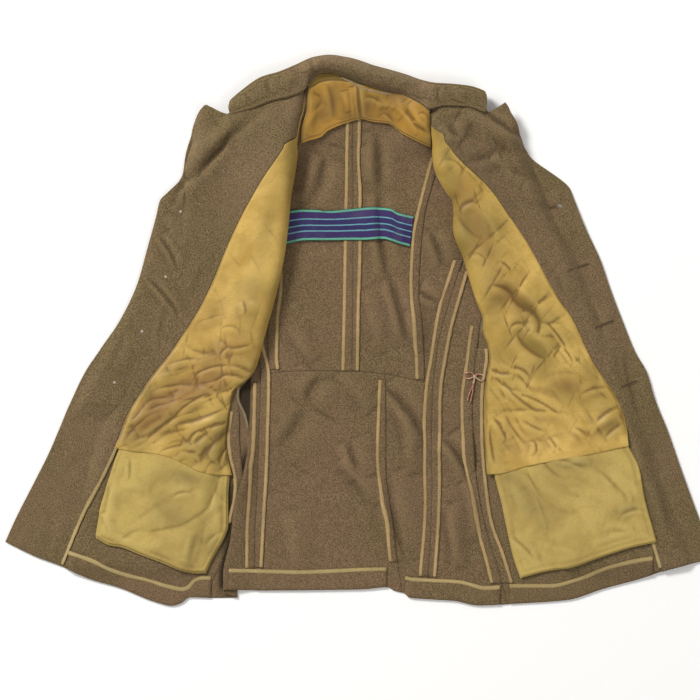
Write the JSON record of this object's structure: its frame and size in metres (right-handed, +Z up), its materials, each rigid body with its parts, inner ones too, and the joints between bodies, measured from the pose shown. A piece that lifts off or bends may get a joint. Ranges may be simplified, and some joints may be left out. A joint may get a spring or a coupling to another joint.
{
  "type": "officer service jacket",
  "caption": "Wool service coat with lapels, notched collar and bound seams, part lined in satin, laid open flat with its inside up.",
  "frame": {"origin": "middle of the spread coat at the height of the surface it lies on", "axes": "+X across the spread coat towards the wearer's left front, +Y from the hem to the collar, +Z up from the surface through the inside of the coat"},
  "size_m": [0.9916, 0.7696, 0.0373],
  "materials": {
    "wool": "brown olive wool serge, matt with a short nap",
    "lining": "gold cotton satin with a soft sheen and creases",
    "pocketing": "khaki cotton drill, matt",
    "binding": "tan woven seam tape over wool allowances",
    "ribbon": "woven ribbon, dark purple with pale green lines",
    "cord": "twisted thread, cream to rust",
    "webbing": "pale cotton tape",
    "buttons": "dulled brass"
  },
  "bodies": {
    "root": {"back_r": "wool", "back_l": "wool", "side_back_r": "wool", "side_back_l": "wool", "side_r": "wool", "side_l": "wool", "skirt_back_r": "wool", "skirt_back_l": "wool", "front_r": "wool", "front_l": "wool", "facing_r": "wool", "facing_l": "wool", "collar": "wool", "sleeve_r": "wool", "sleeve_l": "wool", "hem_front_r": "wool", "hem_front_l": "wool", "hem_back_r": "wool", "hem_back_l": "wool", "lining_front_r": "lining", "lining_front_l": "lining", "lining_neck": "lining", "pocket_under_r": "pocketing", "pocket_upper_r": "pocketing", "pocket_under_l": "pocketing", "pocket_upper_l": "pocketing", "seam_centre_r": "binding", "seam_centre_l": "binding", "seam_side_back_r": "binding", "seam_side_back_l": "binding", "seam_side_body_r": "binding", "seam_side_skirt_r": "binding", "seam_side_body_l": "binding", "seam_side_front_l": "binding", "seam_under_back_l": "binding", "seam_under_front_r": "binding", "seam_under_front_l": "binding", "vent_binding": "binding", "facing_tape_r": "binding", "facing_tape_l": "binding", "hem_tape_front_r": "binding", "hem_tape_front_l": "binding", "hem_tape_back_r": "binding", "hem_tape_back_l": "binding", "ribbon_band": "ribbon", "thread_tie": "cord", "hanger_loop": "webbing", "button_1": "buttons", "button_2": "buttons", "button_3": "buttons", "button_4": "buttons"}
  },
  "joints": []
}
